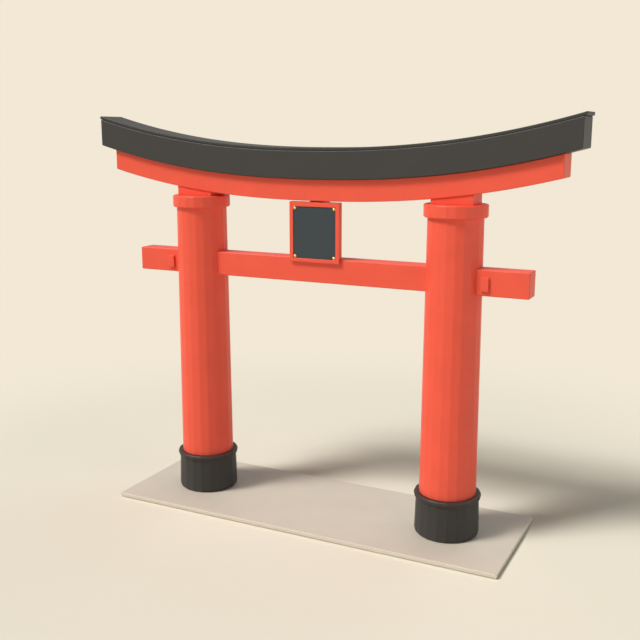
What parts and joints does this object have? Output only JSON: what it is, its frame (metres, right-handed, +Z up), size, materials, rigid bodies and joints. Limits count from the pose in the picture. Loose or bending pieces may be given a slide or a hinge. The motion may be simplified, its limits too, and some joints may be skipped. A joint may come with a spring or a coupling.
{
  "type": "torii gate",
  "caption": "Red-painted timber shrine gate on a thin stone slab, with round posts, a tie beam, a centre plaque and black curved upper lintels.",
  "frame": {"origin": "centre of the ground slab's underside", "axes": "+X along the lintels to the right as seen from the plaque side, +Y from the plaque side to the back, +Z up"},
  "size_m": [5.492, 1.47, 4.3809],
  "materials": {
    "red_timber": "vermilion paint, low sheen",
    "black_timber": "black paint, matte",
    "dark_panel": "dark slate-coloured lacquer, matte",
    "gilt_studs": "gilt, satin",
    "stone": "honed pale stone"
  },
  "bodies": {
    "root": {"base_slab": "stone", "left_base_sleeve": "black_timber", "right_base_sleeve": "black_timber", "left_base_rim": "black_timber", "right_base_rim": "black_timber", "left_post": "red_timber", "right_post": "red_timber", "left_capital_ring": "red_timber", "right_capital_ring": "red_timber", "left_bearing_block": "red_timber", "right_bearing_block": "red_timber", "tie_beam": "red_timber", "left_beam_key": "red_timber", "right_beam_key": "red_timber", "centre_strut": "red_timber", "plaque_top_rail": "red_timber", "plaque_bottom_rail": "red_timber", "plaque_left_stile": "red_timber", "plaque_right_stile": "red_timber", "plaque_panel": "dark_panel", "top_left_stud": "gilt_studs", "top_right_stud": "gilt_studs", "bottom_left_stud": "gilt_studs", "bottom_right_stud": "gilt_studs", "lower_lintel": "red_timber", "upper_lintel": "black_timber", "lintel_cap": "black_timber"}
  },
  "joints": []
}
